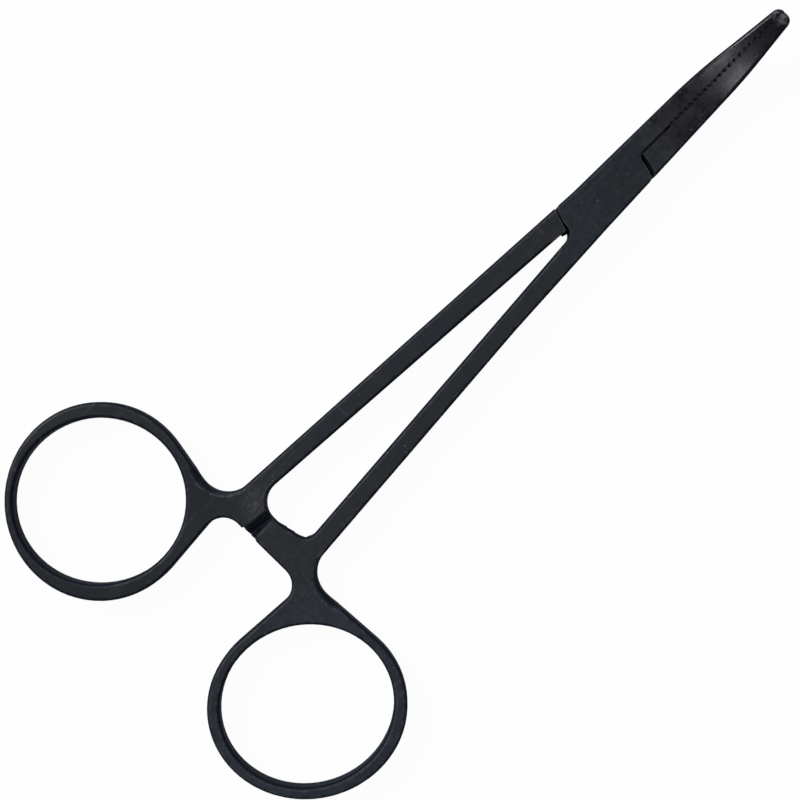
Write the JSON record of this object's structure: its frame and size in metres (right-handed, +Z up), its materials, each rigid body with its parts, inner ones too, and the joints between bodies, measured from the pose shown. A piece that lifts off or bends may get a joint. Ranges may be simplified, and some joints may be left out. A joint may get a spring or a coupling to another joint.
{
  "type": "haemostatic forceps",
  "caption": "Slender curved haemostatic forceps: finger rings, lapped ratchet, box lock and serrated jaws that curve upward, black coated all over.",
  "frame": {"origin": "on the lock pin's axis, at the flat underside of the box lock, on which the instrument rests", "axes": "+X along the closed jaws to the tips, +Y towards the male half's finger ring, +Z up, the way the jaws curve"},
  "size_m": [0.1383, 0.0733, 0.0095],
  "materials": {
    "black_coating": "satin"
  },
  "bodies": {
    "female": {"female_half": "black_coating", "lock_pin": "black_coating"},
    "male": {"male_half": "black_coating"}
  },
  "joints": [
    {"name": "box_lock", "type": "hinge", "parent": "female", "child": "male", "pos_m": [0, 0, 0.0024], "axis": [0, 0, -1], "range_deg": [0, 45]}
  ]
}
